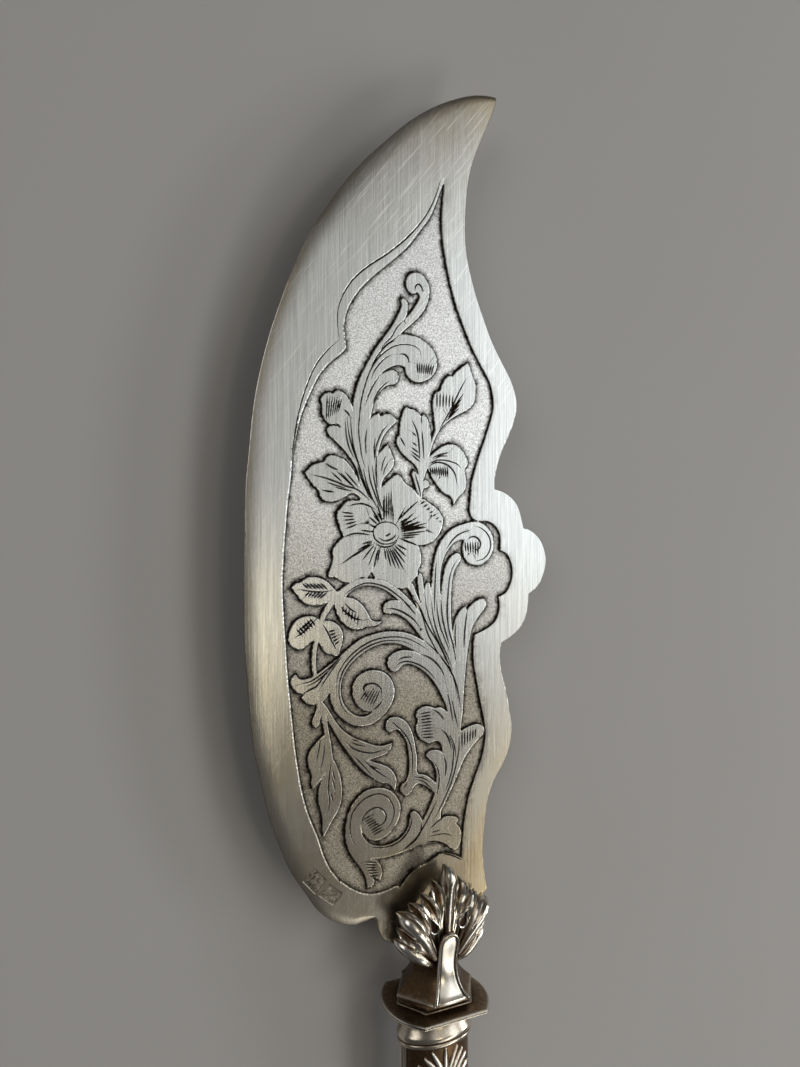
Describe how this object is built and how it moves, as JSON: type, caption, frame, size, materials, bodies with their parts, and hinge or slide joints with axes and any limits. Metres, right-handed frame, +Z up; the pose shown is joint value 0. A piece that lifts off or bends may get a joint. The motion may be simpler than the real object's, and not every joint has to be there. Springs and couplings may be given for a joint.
{
  "type": "fish serving knife",
  "caption": "Fish serving knife with a broad engraved scimitar blade, an acanthus bolster and a filled oval handle.",
  "frame": {"origin": "on the table, in the middle of the lower flat of the bolster plate's rim, under the knife's long axis", "axes": "+Y along the knife to the blade's tip, +X to the blade's lobed back, +Z up out of the engraved face"},
  "size_m": [0.0721, 0.3208, 0.0196],
  "materials": {
    "blade_silver": "satin silver, brushed along its length",
    "cast_silver": "polished cast silver with dark oxide in its hollows",
    "handle_silver": "stamped silver sheet, lightly tarnished",
    "forged_steel": "plain forged steel",
    "pitch_cement": "matt cutler's cement of pitch and brick dust"
  },
  "bodies": {
    "root": {"blade": "blade_silver", "tang": "forged_steel", "bolster_front_half": "cast_silver", "bolster_rear_half": "cast_silver", "bolster_plate": "cast_silver", "neck_ferrule": "cast_silver", "handle_front_shell": "handle_silver", "handle_rear_shell": "handle_silver", "handle_filling": "pitch_cement", "handle_end_cap": "handle_silver"}
  },
  "joints": []
}
